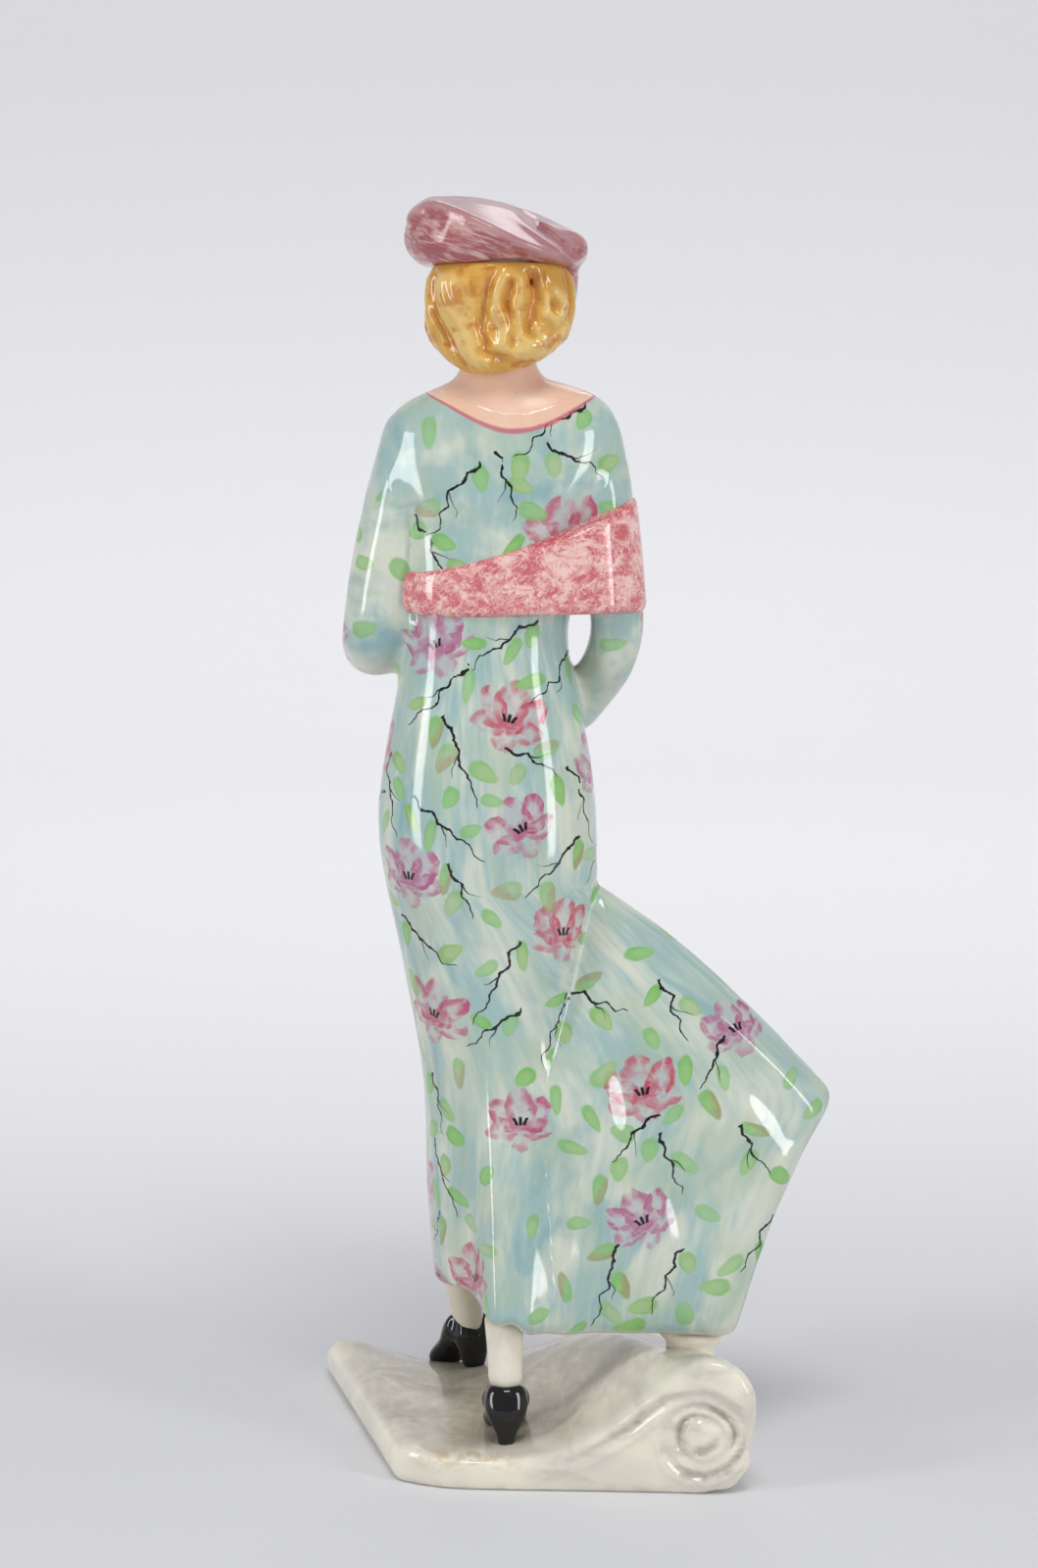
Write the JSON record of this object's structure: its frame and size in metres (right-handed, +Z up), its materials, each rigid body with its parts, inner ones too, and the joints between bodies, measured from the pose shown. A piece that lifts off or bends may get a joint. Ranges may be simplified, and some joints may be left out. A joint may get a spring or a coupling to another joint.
{
  "type": "porcelain lady figurine",
  "caption": "Glazed earthenware figurine of a walking lady in a beret, sash and long floral dress with a blown train, standing on a scroll base.",
  "frame": {"origin": "on the base's flat underside, on the table, below the middle of the figure", "axes": "+Z up; +Y the way the figure walks, away from the picture's viewer; +X to the figure's right, the side of the train and the volute"},
  "size_m": [0.1136, 0.0861, 0.2734],
  "materials": {
    "base_glaze": "gloss glaze over ivory slip",
    "leg_glaze": "gloss glaze over cream",
    "shoe_glaze": "gloss black glaze",
    "dress_glaze": "gloss glaze over painted flowers",
    "sash_glaze": "gloss glaze over sponged red",
    "skin_glaze": "gloss glaze over flesh tint",
    "hair_glaze": "gloss glaze over yellow and brown",
    "beret_glaze": "gloss glaze over brushed mauve"
  },
  "bodies": {
    "root": {"base": "base_glaze", "prop": "base_glaze", "right_leg": "leg_glaze", "left_leg": "leg_glaze", "right_shoe": "shoe_glaze", "left_shoe": "shoe_glaze", "skirt": "dress_glaze", "train": "dress_glaze", "bodice": "dress_glaze", "sash": "sash_glaze", "left_sleeve": "dress_glaze", "left_hand": "skin_glaze", "right_sleeve": "dress_glaze", "right_hand": "skin_glaze", "neck": "skin_glaze", "head": "skin_glaze", "hair": "hair_glaze", "beret": "beret_glaze"}
  },
  "joints": []
}
